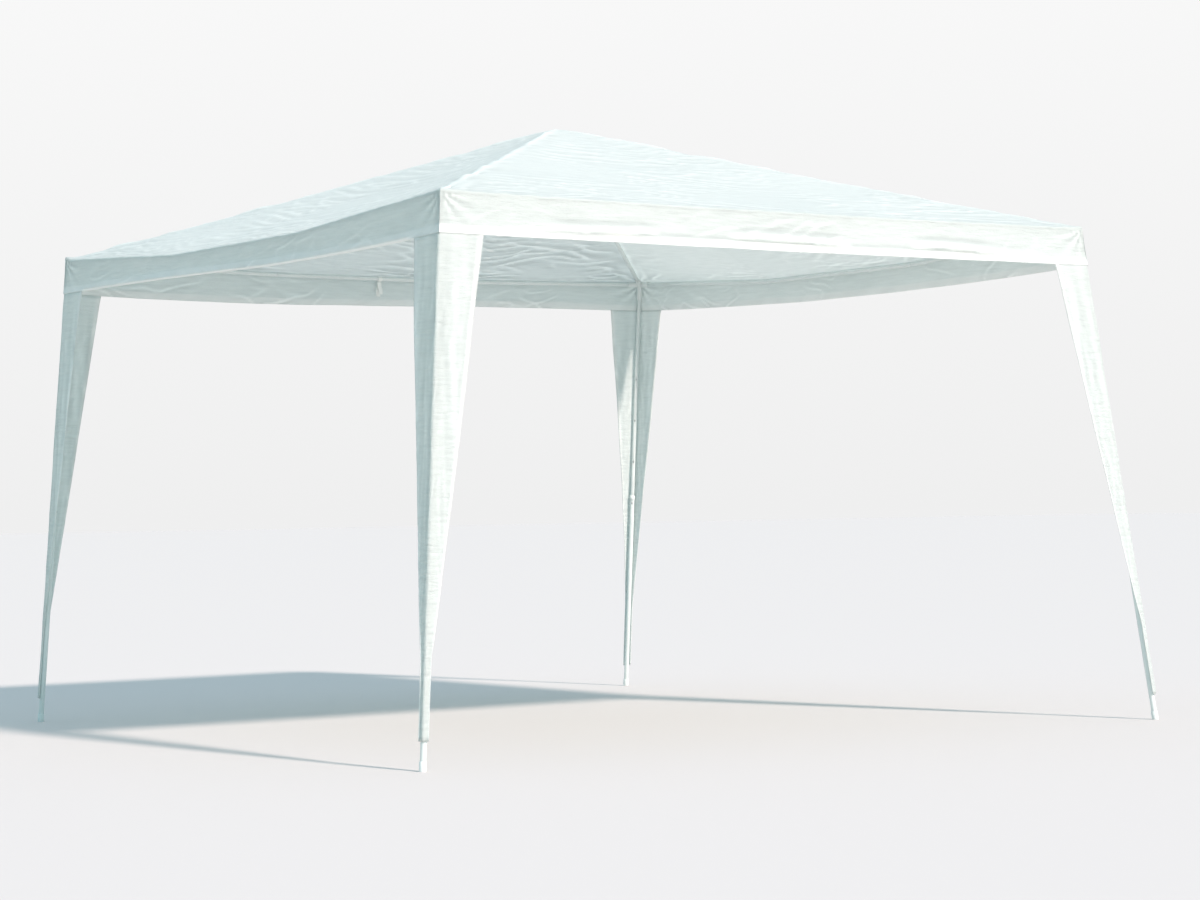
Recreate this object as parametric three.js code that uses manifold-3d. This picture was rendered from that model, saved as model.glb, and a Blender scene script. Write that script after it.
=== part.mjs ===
// Square garden gazebo: a push-fit steel tube frame on four splayed telescopic legs, under a
// sewn sheet canopy with a pyramid roof, a valance and a tapered cover down each leg.
// Millimetres, +Z up. The origin is on the ground, under the middle of the roof.
import * as THREE from 'three';
import { mergeVertices } from 'three/addons/utils/BufferGeometryUtils.js';
import Module from 'manifold-3d';

const wasm = await Module();
wasm.setup();

// Canopy
const EAVE_HALF = 1500;      // half the side of the square that the folded roof edge makes
const EAVE_Z = 1950;         // height of the folded edge at the corners
const APEX_Z = 2425;         // height of the blunt top
const APEX_HALF = 35;        // half the width of the blunt top
const TIP_HALF = 2;          // half the width of the hole where the four panel tips meet
const HEM_Z = 1795;          // lower edge of the valance, and seam to the leg covers
const COVER_END_Z = 100;     // lower end of the leg covers
const COVER_NECK_Z = 380;    // the covers taper down to here and then keep their width
const COVER_TOP_WIDTH = 178; // width of each face of a leg cover at its seam
const COVER_END_WIDTH = 22;
const CLOTH = 2;             // thickness that stands for the sheet
const SEAM_GAP = 0.3;        // gap between two sewn pieces

// Frame
const FRAME_INSET = 16;      // from the canopy's faces in to the tube centre lines
const TUBE_R = 9.5;
const TUBE_WALL = 1.2;
const TUBE_SIDES = 12;
const SECTIONS = 3;          // tubes in a row along each eave
const HUB_Z = 2409;          // centre of the apex connector
const SOCKET_R = 12.5;
const SOCKET_BORE_R = 10;
const CORNER_SOCKET = { boreFrom: 27, to: 72 };
const APEX_SOCKET = { boreFrom: 20, to: 66 };
const TUBE_SEAT_GAP = 2;     // between a tube's end and the bottom of its socket
const JOINT_GAP = 1;         // between a tube's end and the middle of its joint
const EAVE_SPIGOT = { radius: 6.2, length: 28 };  // short and slim, so the joint can droop
const HIP_SPIGOT = { radius: 7.9, length: 50 };

// Telescopic legs, measured down the leg from the middle of its corner connector
const COLLAR_AT = 1020;
const COLLAR_LENGTH = 22;
const COLLAR_R = 13.5;
const COLLAR_LIP = 4;        // how much of the collar stands above the lower leg's end
const UPPER_LEG_END = 1225;
const LOWER_LEG_R = 11;
const LOWER_LEG_BORE_R = 9.9;
const LEG_SIDES = 16;
const SLIP_BORE_R = 11.3;    // bore of the collar and the foot around the lower leg
const BUTTON_AT = 1057;
const LEG_TRAVEL = 600;      // how far a lower leg slides up
const LEG_STEPS = 3;         // locking holes above the first, evenly spaced over the travel
const BUTTON_R = 3.5;
const BUTTON_HOLE_R = 3.95;
const BUTTON_FROM_R = 10.1;  // from the leg's axis to the button's inner and outer ends
const BUTTON_TO_R = 13.5;
const FOOT_R = 13;
const FOOT_HEIGHT = 34;
const FOOT_FLOOR = 5;        // height of the foot's inside floor along the leg
const FOOT_BELOW = 6;        // what the flat cut takes off along the leg

// Tie ribbon
const RIBBON_WIDTH = 22;
const RIBBON_THICKNESS = 1.4;
const RIBBON_LOOP_R = 10;
const RIBBON_DROP = 78;      // from the tube's centre line to the ribbon's free end
const RIBBON_SHARE = 0.51;   // how far along the back left eave it is tied

// Each corner's direction, and how far its foot stands outside the roof corner along X and Y
const CORNERS = {
  front: { sx: -1, sy: -1, splay: [150, 80] },
  left: { sx: -1, sy: 1, splay: [100, 80] },
  back: { sx: 1, sy: 1, splay: [20, 200] },
  right: { sx: 1, sy: -1, splay: [150, 200] },
};

// Each side's two corners, and how far its middle droops below them
const SIDES = {
  front_left: { from: 'front', to: 'left', droop: 58 },
  back_left: { from: 'left', to: 'back', droop: 20 },
  back_right: { from: 'back', to: 'right', droop: 58 },
  front_right: { from: 'right', to: 'front', droop: 6 },
};

const LENGTHWISE = new THREE.Vector3(0, 1, 0);  // the axis of cylinders and turned shapes

// Materials

const finish = (color, roughness, metalness = 0) => (
  () => new THREE.MeshStandardMaterial({ color, roughness, metalness, side: THREE.DoubleSide })
);
const sheet = finish(0xe9f1f4, 0.75);
const enamel = finish(0xf2f4f2, 0.4, 0.1);
const plastic = finish(0xf6f7f5, 0.55);
const bareSteel = finish(0xb9bcbd, 0.3, 0.9);

// Helpers

const vec = (x, y, z) => new THREE.Vector3(x, y, z);

const along = (start, direction, distance) => start.clone().addScaledVector(direction, distance);

const towards = (from, to) => to.clone().sub(from).normalize();

const turnTo = (direction) => new THREE.Quaternion().setFromUnitVectors(LENGTHWISE, direction);

function named(name, geometry, material, position = vec(0, 0, 0), direction = LENGTHWISE) {
  const mesh = new THREE.Mesh(geometry, material());
  mesh.name = name;
  mesh.position.copy(position);
  mesh.quaternion.copy(turnTo(direction));
  return mesh;
}

// A turned shape from a profile of [radius, length] pairs, listed round the section
function turned(profile, sides, closed = true) {
  const points = profile.map(([radius, length]) => new THREE.Vector2(radius, length));
  if (closed) points.push(points[0].clone());
  return new THREE.LatheGeometry(points, sides);
}

// A geometry as a solid that can be joined and cut
function solid(geometry) {
  const bare = geometry.clone();
  bare.deleteAttribute('normal');
  bare.deleteAttribute('uv');
  const merged = mergeVertices(bare, 1e-3);
  const corners = [];
  for (let i = 0; i < merged.index.count; i += 3) {
    const [a, b, c] = [0, 1, 2].map((k) => merged.index.getX(i + k));
    if (a !== b && b !== c && c !== a) corners.push(a, b, c);
  }
  return new wasm.Manifold(new wasm.Mesh({
    numProp: 3,
    vertProperties: new Float32Array(merged.attributes.position.array),
    triVerts: new Uint32Array(corners),
  }));
}

function geometryOf(body) {
  const mesh = body.getMesh();
  const geometry = new THREE.BufferGeometry();
  geometry.setAttribute('position', new THREE.BufferAttribute(mesh.vertProperties, mesh.numProp));
  geometry.setIndex(new THREE.BufferAttribute(mesh.triVerts, 1));
  geometry.computeVertexNormals();
  return geometry;
}

// A rod along a direction, between two distances from the origin
function rod(direction, from, to, radius, sides) {
  const geometry = new THREE.CylinderGeometry(radius, radius, to - from, sides);
  geometry.translate(0, (from + to) / 2, 0);
  return geometry.applyQuaternion(turnTo(direction));
}

// A thin closed solid between two matching grids of points
function clothBetween(outer, inner) {
  const columns = outer[0].length;
  const rows = outer.length;
  const face = rows * columns;
  const triangles = [];
  const quad = (a, b, c, d) => triangles.push(a, b, c, a, c, d);
  const at = (row, column) => row * columns + column;
  const rim = [];
  for (let row = 0; row < rows - 1; row += 1) {
    for (let column = 0; column < columns - 1; column += 1) {
      const [a, b] = [at(row, column), at(row, column + 1)];
      const [c, d] = [at(row + 1, column + 1), at(row + 1, column)];
      quad(a, b, c, d);
      quad(face + d, face + c, face + b, face + a);
    }
  }
  for (let column = 0; column < columns; column += 1) rim.push(at(0, column));
  for (let row = 1; row < rows; row += 1) rim.push(at(row, columns - 1));
  for (let column = columns - 2; column >= 0; column -= 1) rim.push(at(rows - 1, column));
  for (let row = rows - 2; row > 0; row -= 1) rim.push(at(row, 0));
  rim.forEach((a, i) => {
    const b = rim[(i + 1) % rim.length];
    quad(b, a, face + a, face + b);
  });
  const geometry = new THREE.BufferGeometry().setFromPoints([...outer.flat(), ...inner.flat()]);
  geometry.setIndex(volumeInside(geometry, triangles) < 0 ? triangles.reverse() : triangles);
  geometry.computeVertexNormals();
  return geometry;
}

function volumeInside(geometry, triangles) {
  const position = geometry.attributes.position;
  let volume = 0;
  for (let i = 0; i < triangles.length; i += 3) {
    const [a, b, c] = [0, 1, 2].map((k) => vec().fromBufferAttribute(position, triangles[i + k]));
    volume += a.dot(b.cross(c)) / 6;
  }
  return volume;
}

// Places

// A leg's centre line: its top, its foot on the ground, and the point at a height
function legLine(corner) {
  const { sx, sy, splay } = CORNERS[corner];
  const frameHalf = EAVE_HALF - FRAME_INSET;
  const top = vec(sx * frameHalf, sy * frameHalf, frameCornerZ());
  const foot = vec(sx * (EAVE_HALF + splay[0]), sy * (EAVE_HALF + splay[1]), 0);
  const down = foot.clone().sub(top).normalize();
  const atHeight = (z) => top.clone().lerp(foot, (top.z - z) / top.z);
  return { top, foot, down, length: foot.distanceTo(top), atHeight };
}

// The tubes' centre lines meet at the corners this high, just under the roof
function frameCornerZ() {
  const slope = (APEX_Z - EAVE_Z) / (EAVE_HALF - APEX_HALF);
  return EAVE_Z + FRAME_INSET * slope - FRAME_INSET;
}

// Points from one end of an eave to the other, with the joints between tubes drooping
function eaveLine(start, end, droop) {
  return Array.from({ length: SECTIONS + 1 }, (_, i) => {
    const point = start.clone().lerp(end, i / SECTIONS);
    if (i > 0 && i < SECTIONS) point.z -= droop;
    return point;
  });
}

const cornerPoint = (corner, half, z) => vec(CORNERS[corner].sx * half, CORNERS[corner].sy * half, z);

const frameEave = ({ from, to, droop }) => eaveLine(legLine(from).top, legLine(to).top, droop);

// The canopy's outer corner edge at a height: it runs beside the leg below the eave
function coverCorner(corner, z) {
  const { sx, sy } = CORNERS[corner];
  return legLine(corner).atHeight(z).add(vec(sx * FRAME_INSET, sy * FRAME_INSET, 0));
}

// Frame

// A tube whose far end is drawn down to a spigot that plugs into the next tube
function swagedTube(length, spigot) {
  const wall = spigot.radius - TUBE_WALL;
  return turned([
    [TUBE_R - TUBE_WALL, 0], [TUBE_R, 0], [TUBE_R, length], [spigot.radius, length],
    [spigot.radius, length + spigot.length], [wall, length + spigot.length],
    [wall, length - TUBE_R], [TUBE_R - TUBE_WALL, length - TUBE_R],
  ], TUBE_SIDES);
}

function plainTube(length, outer, inner, sides) {
  return turned([[inner, 0], [outer, 0], [outer, length], [inner, length]], sides);
}

// A tube between two points, which starts and ends a little way in from them
function tubeBetween(name, start, end, startGap, endGap, spigot) {
  const direction = end.clone().sub(start);
  const length = direction.length() - startGap - endGap;
  direction.normalize();
  const geometry = spigot
    ? swagedTube(length, spigot)
    : plainTube(length, TUBE_R, TUBE_R - TUBE_WALL, TUBE_SIDES);
  return named(name, geometry, enamel, along(start, direction, startGap), direction);
}

// Round sockets on a ball, one towards each neighbouring tube
function connector(directions, socket) {
  const ball = solid(new THREE.SphereGeometry(SOCKET_R, TUBE_SIDES, TUBE_SIDES / 2));
  const outside = directions.reduce((body, d) => (
    body.add(solid(rod(d, 0, socket.to, SOCKET_R, TUBE_SIDES)))
  ), ball);
  return geometryOf(directions.reduce((body, d) => (
    body.subtract(solid(rod(d, socket.boreFrom, socket.to + 1, SOCKET_BORE_R, TUBE_SIDES)))
  ), outside));
}

function cornerConnector(corner) {
  const { top, down } = legLine(corner);
  const directions = [down, towards(top, vec(0, 0, HUB_Z))];
  Object.values(SIDES).forEach((side) => {
    const line = frameEave(side);
    if (side.from === corner) directions.push(towards(top, line[1]));
    if (side.to === corner) directions.push(towards(top, line[SECTIONS - 1]));
  });
  const geometry = connector(directions, CORNER_SOCKET);
  return named(`corner_connector_${corner}`, geometry, plastic, top);
}

function apexConnector() {
  const hub = vec(0, 0, HUB_Z);
  const directions = Object.keys(CORNERS).map((corner) => towards(hub, legLine(corner).top));
  return named('apex_connector', connector(directions, APEX_SOCKET), plastic, hub);
}

function eaveTubes(name, side) {
  const line = frameEave(side);
  const seat = CORNER_SOCKET.boreFrom + TUBE_SEAT_GAP;
  return line.slice(1).map((end, i) => {
    const last = i === SECTIONS - 1;
    const startGap = i === 0 ? seat : JOINT_GAP;
    const endGap = last ? seat : JOINT_GAP;
    const spigot = last ? null : EAVE_SPIGOT;
    return tubeBetween(`eave_tube_${name}_${i + 1}`, line[i], end, startGap, endGap, spigot);
  });
}

function hipTubes(corner) {
  const low = legLine(corner).top;
  const high = vec(0, 0, HUB_Z);
  const middle = low.clone().lerp(high, 0.5);
  const lowSeat = CORNER_SOCKET.boreFrom + TUBE_SEAT_GAP;
  const highSeat = APEX_SOCKET.boreFrom + TUBE_SEAT_GAP;
  return [
    tubeBetween(`hip_tube_lower_${corner}`, low, middle, lowSeat, JOINT_GAP, HIP_SPIGOT),
    tubeBetween(`hip_tube_upper_${corner}`, middle, high, JOINT_GAP, highSeat, null),
  ];
}

// Legs

// The direction across a leg that faces the middle of the gazebo
function inward(corner) {
  const { sx, sy } = CORNERS[corner];
  const { down } = legLine(corner);
  const across = vec(-sx, -sy, 0);
  return across.addScaledVector(down, -across.dot(down)).normalize();
}

// Cuts round holes through one wall of a tube that lies along the leg
function withHoles(geometry, corner, distances, radius) {
  const local = inward(corner).applyQuaternion(turnTo(legLine(corner).down).invert());
  return geometryOf(distances.reduce((body, distance) => {
    const drill = rod(local, TUBE_R / 2, COLLAR_R, radius, TUBE_SIDES);
    return body.subtract(solid(drill.translate(0, distance, 0)));
  }, solid(geometry)));
}

function upperLeg(corner) {
  const { top, down } = legLine(corner);
  const start = CORNER_SOCKET.boreFrom + TUBE_SEAT_GAP;
  const tube = plainTube(UPPER_LEG_END - start, TUBE_R, TUBE_R - TUBE_WALL, LEG_SIDES);
  const holes = Array.from({ length: LEG_STEPS + 1 }, (_, i) => (
    BUTTON_AT - start - (i * LEG_TRAVEL) / LEG_STEPS
  ));
  const geometry = withHoles(tube, corner, holes, BUTTON_HOLE_R);
  return named(`upper_leg_${corner}`, geometry, enamel, along(top, down, start), down);
}

function lowerLeg(corner) {
  const { top, down, length } = legLine(corner);
  const start = COLLAR_AT + COLLAR_LIP;
  const end = length - FOOT_FLOOR - SEAM_GAP;
  const tube = plainTube(end - start, LOWER_LEG_R, LOWER_LEG_BORE_R, LEG_SIDES);
  const geometry = withHoles(tube, corner, [BUTTON_AT - start], BUTTON_HOLE_R);
  return named(`lower_leg_${corner}`, geometry, enamel, along(top, down, start), down);
}

function legCollar(corner) {
  const { top, down } = legLine(corner);
  const shoulder = COLLAR_LIP - SEAM_GAP;
  const geometry = turned([
    [LOWER_LEG_BORE_R, 0], [COLLAR_R - 1.4, 0], [COLLAR_R, 1.4],
    [COLLAR_R, COLLAR_LENGTH - 1], [COLLAR_R - 1, COLLAR_LENGTH],
    [SLIP_BORE_R, COLLAR_LENGTH], [SLIP_BORE_R, shoulder], [LOWER_LEG_BORE_R, shoulder],
  ], LEG_SIDES);
  return named(`leg_collar_${corner}`, geometry, plastic, along(top, down, COLLAR_AT), down);
}

function snapButton(corner) {
  const { top, down } = legLine(corner);
  const geometry = turned([
    [0, BUTTON_FROM_R], [BUTTON_R, BUTTON_FROM_R], [BUTTON_R, BUTTON_TO_R - 1.6],
    [BUTTON_R * 0.75, BUTTON_TO_R - 0.5], [0, BUTTON_TO_R],
  ], TUBE_SIDES, false);
  const place = along(top, down, BUTTON_AT);
  return named(`snap_button_${corner}`, geometry, bareSteel, place, inward(corner));
}

// A cap over the leg's end, cut level where it stands on the ground
function foot(corner) {
  const { foot: ground, down } = legLine(corner);
  const cap = turned([
    [0, -FOOT_BELOW], [FOOT_R, -FOOT_BELOW], [FOOT_R, FOOT_HEIGHT - 2],
    [FOOT_R - 1, FOOT_HEIGHT], [SLIP_BORE_R, FOOT_HEIGHT],
    [SLIP_BORE_R, FOOT_FLOOR], [0, FOOT_FLOOR],
  ], LEG_SIDES, false);
  cap.applyQuaternion(turnTo(down.clone().negate()));
  const below = new THREE.BoxGeometry(6 * FOOT_R, 6 * FOOT_R, 4 * FOOT_BELOW);
  below.translate(0, 0, -2 * FOOT_BELOW);
  const geometry = geometryOf(solid(cap).subtract(solid(below)));
  return named(`foot_${corner}`, geometry, plastic, ground);
}

// Canopy

// A row of points whose two ends are pulled in by half a seam's gap
function shortened(points) {
  const first = points[0];
  const last = points[points.length - 1];
  const pull = towards(first, last).setZ(0).multiplyScalar(SEAM_GAP / 2);
  return points.map((point, i) => {
    const moved = point.clone();
    if (i === 0) moved.add(pull);
    if (i === points.length - 1) moved.sub(pull);
    return moved;
  });
}

const lowered = (points, drop) => points.map((point) => point.clone().setZ(point.z - drop));

function roofPanel(name, { from, to, droop }) {
  const row = (half, z, drop) => (
    shortened(eaveLine(cornerPoint(from, half, z), cornerPoint(to, half, z), drop))
  );
  const outer = [
    row(EAVE_HALF, EAVE_Z, droop), row(APEX_HALF, APEX_Z, 0), row(TIP_HALF, APEX_Z, 0),
  ];
  const geometry = clothBetween(outer, outer.map((points) => lowered(points, CLOTH)));
  return named(`roof_panel_${name}`, geometry, sheet);
}

// The same row of points moved in by the cloth's thickness, mitred at both ends
function insideOf(points, from, to) {
  const mitre = (corner) => vec(-CORNERS[corner].sx, -CORNERS[corner].sy, 0);
  const middle = mitre(from).add(mitre(to)).multiplyScalar(0.5);
  return points.map((point, i) => {
    const step = i === 0 ? mitre(from) : middle;
    const direction = i === points.length - 1 ? mitre(to) : step;
    return along(point, direction, CLOTH);
  });
}

function valance(name, { from, to, droop }) {
  const topZ = EAVE_Z - CLOTH - SEAM_GAP;
  const fold = eaveLine(cornerPoint(from, EAVE_HALF, topZ), cornerPoint(to, EAVE_HALF, topZ), droop);
  const hem = eaveLine(coverCorner(from, HEM_Z), coverCorner(to, HEM_Z), 0);
  const outer = [shortened(fold), shortened(hem)];
  const geometry = clothBetween(outer, outer.map((points) => insideOf(points, from, to)));
  return named(`valance_${name}`, geometry, sheet);
}

// Two tapering faces that meet at an edge beside the leg
function legCover(corner) {
  const { sx, sy } = CORNERS[corner];
  const stations = [
    [HEM_Z - SEAM_GAP, COVER_TOP_WIDTH],
    [COVER_NECK_Z, COVER_END_WIDTH],
    [COVER_END_Z, COVER_END_WIDTH],
  ];
  const outer = stations.map(([z, width]) => {
    const edge = coverCorner(corner, z);
    return [vec(-sx * width, 0, 0), vec(0, 0, 0), vec(0, -sy * width, 0)].map((v) => v.add(edge));
  });
  const steps = [vec(0, -sy, 0), vec(-sx, -sy, 0), vec(-sx, 0, 0)];
  const inner = outer.map((row) => row.map((point, i) => along(point, steps[i], CLOTH)));
  return named(`leg_cover_${corner}`, clothBetween(outer, inner), sheet);
}

// A loop round the eave tube with its tails hanging down together
function tieRibbon(name) {
  const line = frameEave(SIDES[name]);
  const middle = Math.floor(RIBBON_SHARE * SECTIONS);
  const place = line[middle].clone().lerp(line[middle + 1], RIBBON_SHARE * SECTIONS - middle);
  const direction = towards(line[middle], line[middle + 1]);
  const loop = plainTube(RIBBON_WIDTH, RIBBON_LOOP_R + RIBBON_THICKNESS, RIBBON_LOOP_R, LEG_SIDES);
  loop.translate(0, -RIBBON_WIDTH / 2, 0).applyQuaternion(turnTo(direction));
  const height = RIBBON_DROP - RIBBON_LOOP_R;
  const tails = new THREE.BoxGeometry(RIBBON_WIDTH, 2 * RIBBON_THICKNESS, height);
  tails.translate(0, 0, -RIBBON_LOOP_R - height / 2 - RIBBON_THICKNESS / 2);
  return named(`tie_ribbon_${name}`, geometryOf(solid(loop).add(solid(tails))), sheet, place);
}

// The whole gazebo

function group(...meshes) {
  return new THREE.Group().add(...meshes.flat());
}

const corners = Object.keys(CORNERS);
const sides = Object.entries(SIDES);

const frame = group(
  apexConnector(),
  corners.map(cornerConnector),
  corners.flatMap(hipTubes),
  sides.flatMap(([name, side]) => eaveTubes(name, side)),
  corners.map(upperLeg),
);
const lowerLegs = corners.map((corner) => (
  group(lowerLeg(corner), legCollar(corner), foot(corner), snapButton(corner))
));
const canopy = group(
  sides.map(([name, side]) => roofPanel(name, side)),
  sides.map(([name, side]) => valance(name, side)),
  corners.map(legCover),
  tieRibbon('back_left'),
);

export default group(frame, lowerLegs, canopy);
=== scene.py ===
"""A white garden gazebo: the sewn canopy, its leg covers and every finish, around the CAD frame.

Metres, +Z up, origin on the ground under the middle of the roof. Corners are front (-X -Y),
left (-X +Y), back (+X +Y) and right (+X -Y), and a side is named after its two corners.
"""

import math

import bpy
import numpy as np
from mathutils import Matrix, Vector, noise


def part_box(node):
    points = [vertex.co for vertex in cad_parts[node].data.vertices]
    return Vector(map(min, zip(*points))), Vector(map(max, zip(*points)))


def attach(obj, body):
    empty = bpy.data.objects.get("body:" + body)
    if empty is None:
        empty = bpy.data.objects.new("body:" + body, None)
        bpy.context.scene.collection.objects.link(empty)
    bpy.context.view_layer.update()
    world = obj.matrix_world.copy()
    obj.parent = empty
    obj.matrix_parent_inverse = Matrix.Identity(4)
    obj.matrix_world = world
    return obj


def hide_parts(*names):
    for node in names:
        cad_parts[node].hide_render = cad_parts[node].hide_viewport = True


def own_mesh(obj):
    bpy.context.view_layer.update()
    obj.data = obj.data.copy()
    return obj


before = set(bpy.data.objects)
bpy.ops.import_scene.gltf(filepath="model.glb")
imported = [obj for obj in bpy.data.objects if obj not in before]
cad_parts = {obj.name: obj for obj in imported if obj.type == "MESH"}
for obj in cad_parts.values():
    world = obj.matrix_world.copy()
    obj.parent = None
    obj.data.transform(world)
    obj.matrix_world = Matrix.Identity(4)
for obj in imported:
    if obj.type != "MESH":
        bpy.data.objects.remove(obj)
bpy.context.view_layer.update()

# Camera: where it stands, where it looks, and its focal length in image widths
CAMERA_PLACE = Vector((-6.632, -9.731, 0.855))
CAMERA_YAW, CAMERA_PITCH, CAMERA_ROLL = (math.radians(a) for a in (35.05, 1.205, -0.882))
CAMERA_FOCAL = 2876 / 1200
SENSOR_WIDTH = 36.0

CORNERS = {"front": (-1, -1), "left": (-1, 1), "back": (1, 1), "right": (1, -1)}

# Each side's corners, its outward direction, how its hem sags and skews below the straight
# line between its corners, how deep and how long its roof panel's wrinkles are, and how
# crumpled the cloth itself is (0 to 1)
SIDES = {
    "front_left": dict(ends=("front", "left"), out=(-1, 0), hem=(0.014, 0.008),
                       wrinkle=0.0045, length=0.34, crumple=0.6),
    "back_left": dict(ends=("left", "back"), out=(0, 1), hem=(0.010, 0.007),
                      wrinkle=0.0110, length=0.30, crumple=1.0),
    "back_right": dict(ends=("back", "right"), out=(1, 0), hem=(0.032, 0.0),
                       wrinkle=0.0030, length=0.30, crumple=0.35),
    "front_right": dict(ends=("right", "front"), out=(0, -1), hem=(0.006, 0.0),
                        wrinkle=0.0043, length=0.40, crumple=0.7),
}

# Canopy: the sheet's grid and thickness
CELL = 0.0125            # spacing of the sheet's grid
FINE_CELL = 0.0065       # its spacing next to the eaves
FINE_REACH = 0.085       # how far in from the eaves that spacing goes
CLOTH = 0.0008           # thickness of the sheet
HEM_THICKNESS = 0.0022   # and of its doubled edges
HEM_START = 0.93         # share of a valance's depth where its stiff edge starts
VALANCE_STEPS = (*np.linspace(0, HEM_START, 24)[1:], 0.958, 0.98, 1.0)

# Canopy: the roof's shape
FOLD_RADIUS = 0.014      # round the eave tubes
FOLD_STEPS = 6
HIP_ROUNDING = 0.022     # how far to each side a hip is rounded
HIP_SAG = 0.008          # how far a hip's middle hangs below the straight line
HIP_SCALLOPS = 0.012     # how deep the sheet waves along a hip
HIP_PUCKERS = 0.0034     # and how deep the short wrinkles that cross it are
PANEL_SAG = 0.020        # how far a roof panel's middle hangs below its hips
PANEL_SWELL = 0.004      # slow rise and fall over a whole panel
EAVE_PUCKERS = 0.0022    # short wrinkles next to the eave
ROOF_FAN = 0.0012        # creases that fan out from a panel's corners
PEAK = {"front": 0.003, "left": 0.012, "back": 0.004, "right": 0.004}  # a corner's rise
PEAK_REACH = 0.030
HIP_FADE, EAVE_FADE, TOP_FADE = (0.010, 0.12), (0.0, 0.06), (0.05, 0.16)  # of wrinkles

# Canopy: the valance's shape. Along it, places are shares of the side, and down it, of its depth
HEM_DROP = {"front": 0.150, "left": 0.146, "back": 0.136, "right": 0.152}
HEM_BAND = 0.028         # height of the doubled edge
HEM_RIPPLE = 0.0022
PAST_COVER = (0.056, 0.075)     # where a hem comes free of the leg cover sewn to it
SINGLE_HEM = (0.155, 0.185)     # metres from a corner to where the doubled edge is full
PAINTED_HIGHLIGHT_HEM = "front_left"       # its turned edge catches some light, and a painted highlight runs along it
PAINTED_HIGHLIGHT_FROM = 0.18              # metres from a corner to where that starts
HEM_FLARE = {"front_left": -0.013, "back_left": 0.003, "back_right": 0.003,
             "front_right": 0.004}  # how far each hem's last few millimetres turn outwards
VALANCE_DEPTH = 0.155    # its usual depth, for the spacing of what fans out from a corner
CREASED_DEPTH = 0.15     # and for how sharp its creases are
VALANCE_BULGE = 0.003    # how far its middle lies behind the line from fold to hem
VALANCE_WAVES = (0.0090, 0.0045)  # its slow and quick waves at the hem
VALANCE_CREASES = 0.0030
VALANCE_FAN = 0.0018     # creases that fan out from its upper corners
PINCH = {"front": 0.0022, "left": 0.0048, "back": 0.0018, "right": 0.0020}
PINCH_SPACING = 0.027
LIFTED_SIDE = "front_right"  # the side whose hem has ridden up in a fold
LIFTED_LIP, LIFTED_STEP = 0.011, 0.035
CREASE_BEND = 16.0       # 1/m: a fold this sharp shows as fully creased

# Leg covers: the width of each cover's two faces at the seam, one per neighbouring side
COVER_WIDTHS = {
    "front": {"front_left": 0.160, "front_right": 0.178},
    "left": {"front_left": 0.178, "back_left": 0.172},
    "back": {"back_left": 0.170, "back_right": 0.178},
    "right": {"back_right": 0.172, "front_right": 0.178},
}
NECK_WIDTH = 0.024       # each face's width at the lower end
NECK_WIDTHS = {("right", "back_right"): 0.013}
TAPER = 0.92             # a face narrows by its share of the height to this power
TAPERS = {("back", "back_left"): 1.35, ("back", "back_right"): 1.05}
COVER_TUCK = 0.0015      # how far a cover reaches up behind the valance's hem
COVER_INSET = 0.0010     # its top lies this far behind the valance
COVER_ROWS = 120
COVER_FACE_COLUMNS = 14
COVER_EDGE_RADIUS = 0.009
COVER_EDGE_STEPS = 5
COVER_COLUMN = 0.009     # about how far apart its columns are
COVER_WAVES = (0.0030, 0.0050, 0.0014)  # its narrow and broad waves, and its creases
COVER_CURL = 0.0025      # how far its free edges curl outwards


# Reading the frame

def points_of(node):
    """A CAD node's own points, each once."""
    co = np.array([v.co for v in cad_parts[node].data.vertices], float)
    return np.unique(co.round(5), axis=0)


def eave_points(side):
    """The two ends and the two joints of a side's folded edge, from its first corner."""
    pts = points_of(f"roof_panel_{side}")
    out = np.array(SIDES[side]["out"], float)
    first = np.array(CORNERS[SIDES[side]["ends"][0]], float)
    edge = pts[pts[:, :2] @ out > EAVE_HALF - 1e-4]
    top = {}
    for p in edge:
        key = round(float(p[:2] @ first), 3)
        top[key] = max(top.get(key, -1.0), p[2])
    spans = sorted(top, reverse=True)
    return [top[k] for k in spans]


def cover_edge(corner):
    """The corner edge of a leg cover: its points at the seam, the neck and the lower end."""
    sign = np.array(CORNERS[corner], float)
    pts = points_of(f"leg_cover_{corner}")
    levels = sorted(set(pts[:, 2].round(4)), reverse=True)
    rows = [pts[abs(pts[:, 2] - z) < 1e-3] for z in levels]
    return [row[np.argmax(row[:, :2] @ sign)] for row in rows]


EAVE_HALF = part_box("roof_panel_back_right")[1].x
APEX_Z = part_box("roof_panel_back_right")[1].z
EAVE_Z = max(eave_points("front_left")[0], eave_points("front_left")[-1])
BLUNT_HALF = 0.035
SLOPE = (APEX_Z - EAVE_Z) / (EAVE_HALF - BLUNT_HALF)
DROOPS = {side: EAVE_Z - min(eave_points(side)) for side in SIDES}
EDGES = {corner: cover_edge(corner) for corner in CORNERS}


# Noise and small maths

def smoothstep(low, high, x):
    """0 up to low and 1 from high, or the other way round where low is the larger."""
    t = np.clip((x - low) / (high - low), 0.0, 1.0)
    return t * t * (3 - 2 * t)


def noise_at(u, v, seed):
    """Smooth noise from about -1 to 1 at each pair of coordinates, a wave being about 2 units.

    Below, a place is divided by the size of the waves wanted, and a number such as 12.0 that is
    given last picks the pattern, so that no two uses look alike.
    """
    flat_u, flat_v = np.broadcast_arrays(u, v)
    values = [noise.noise((a, b, seed)) for a, b in zip(flat_u.ravel(), flat_v.ravel())]
    return np.array(values).reshape(flat_u.shape)


def creases(u, v, seed, sharpness=3.0):
    """Narrow ridges with flat ground between them, from 0 to 1."""
    bend = 0.9 * noise_at(u * 0.6, v * 0.25, seed + 5.0)
    return (1 - np.abs(noise_at(u, v + bend, seed)) * 1.6).clip(0, 1) ** sharpness


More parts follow.
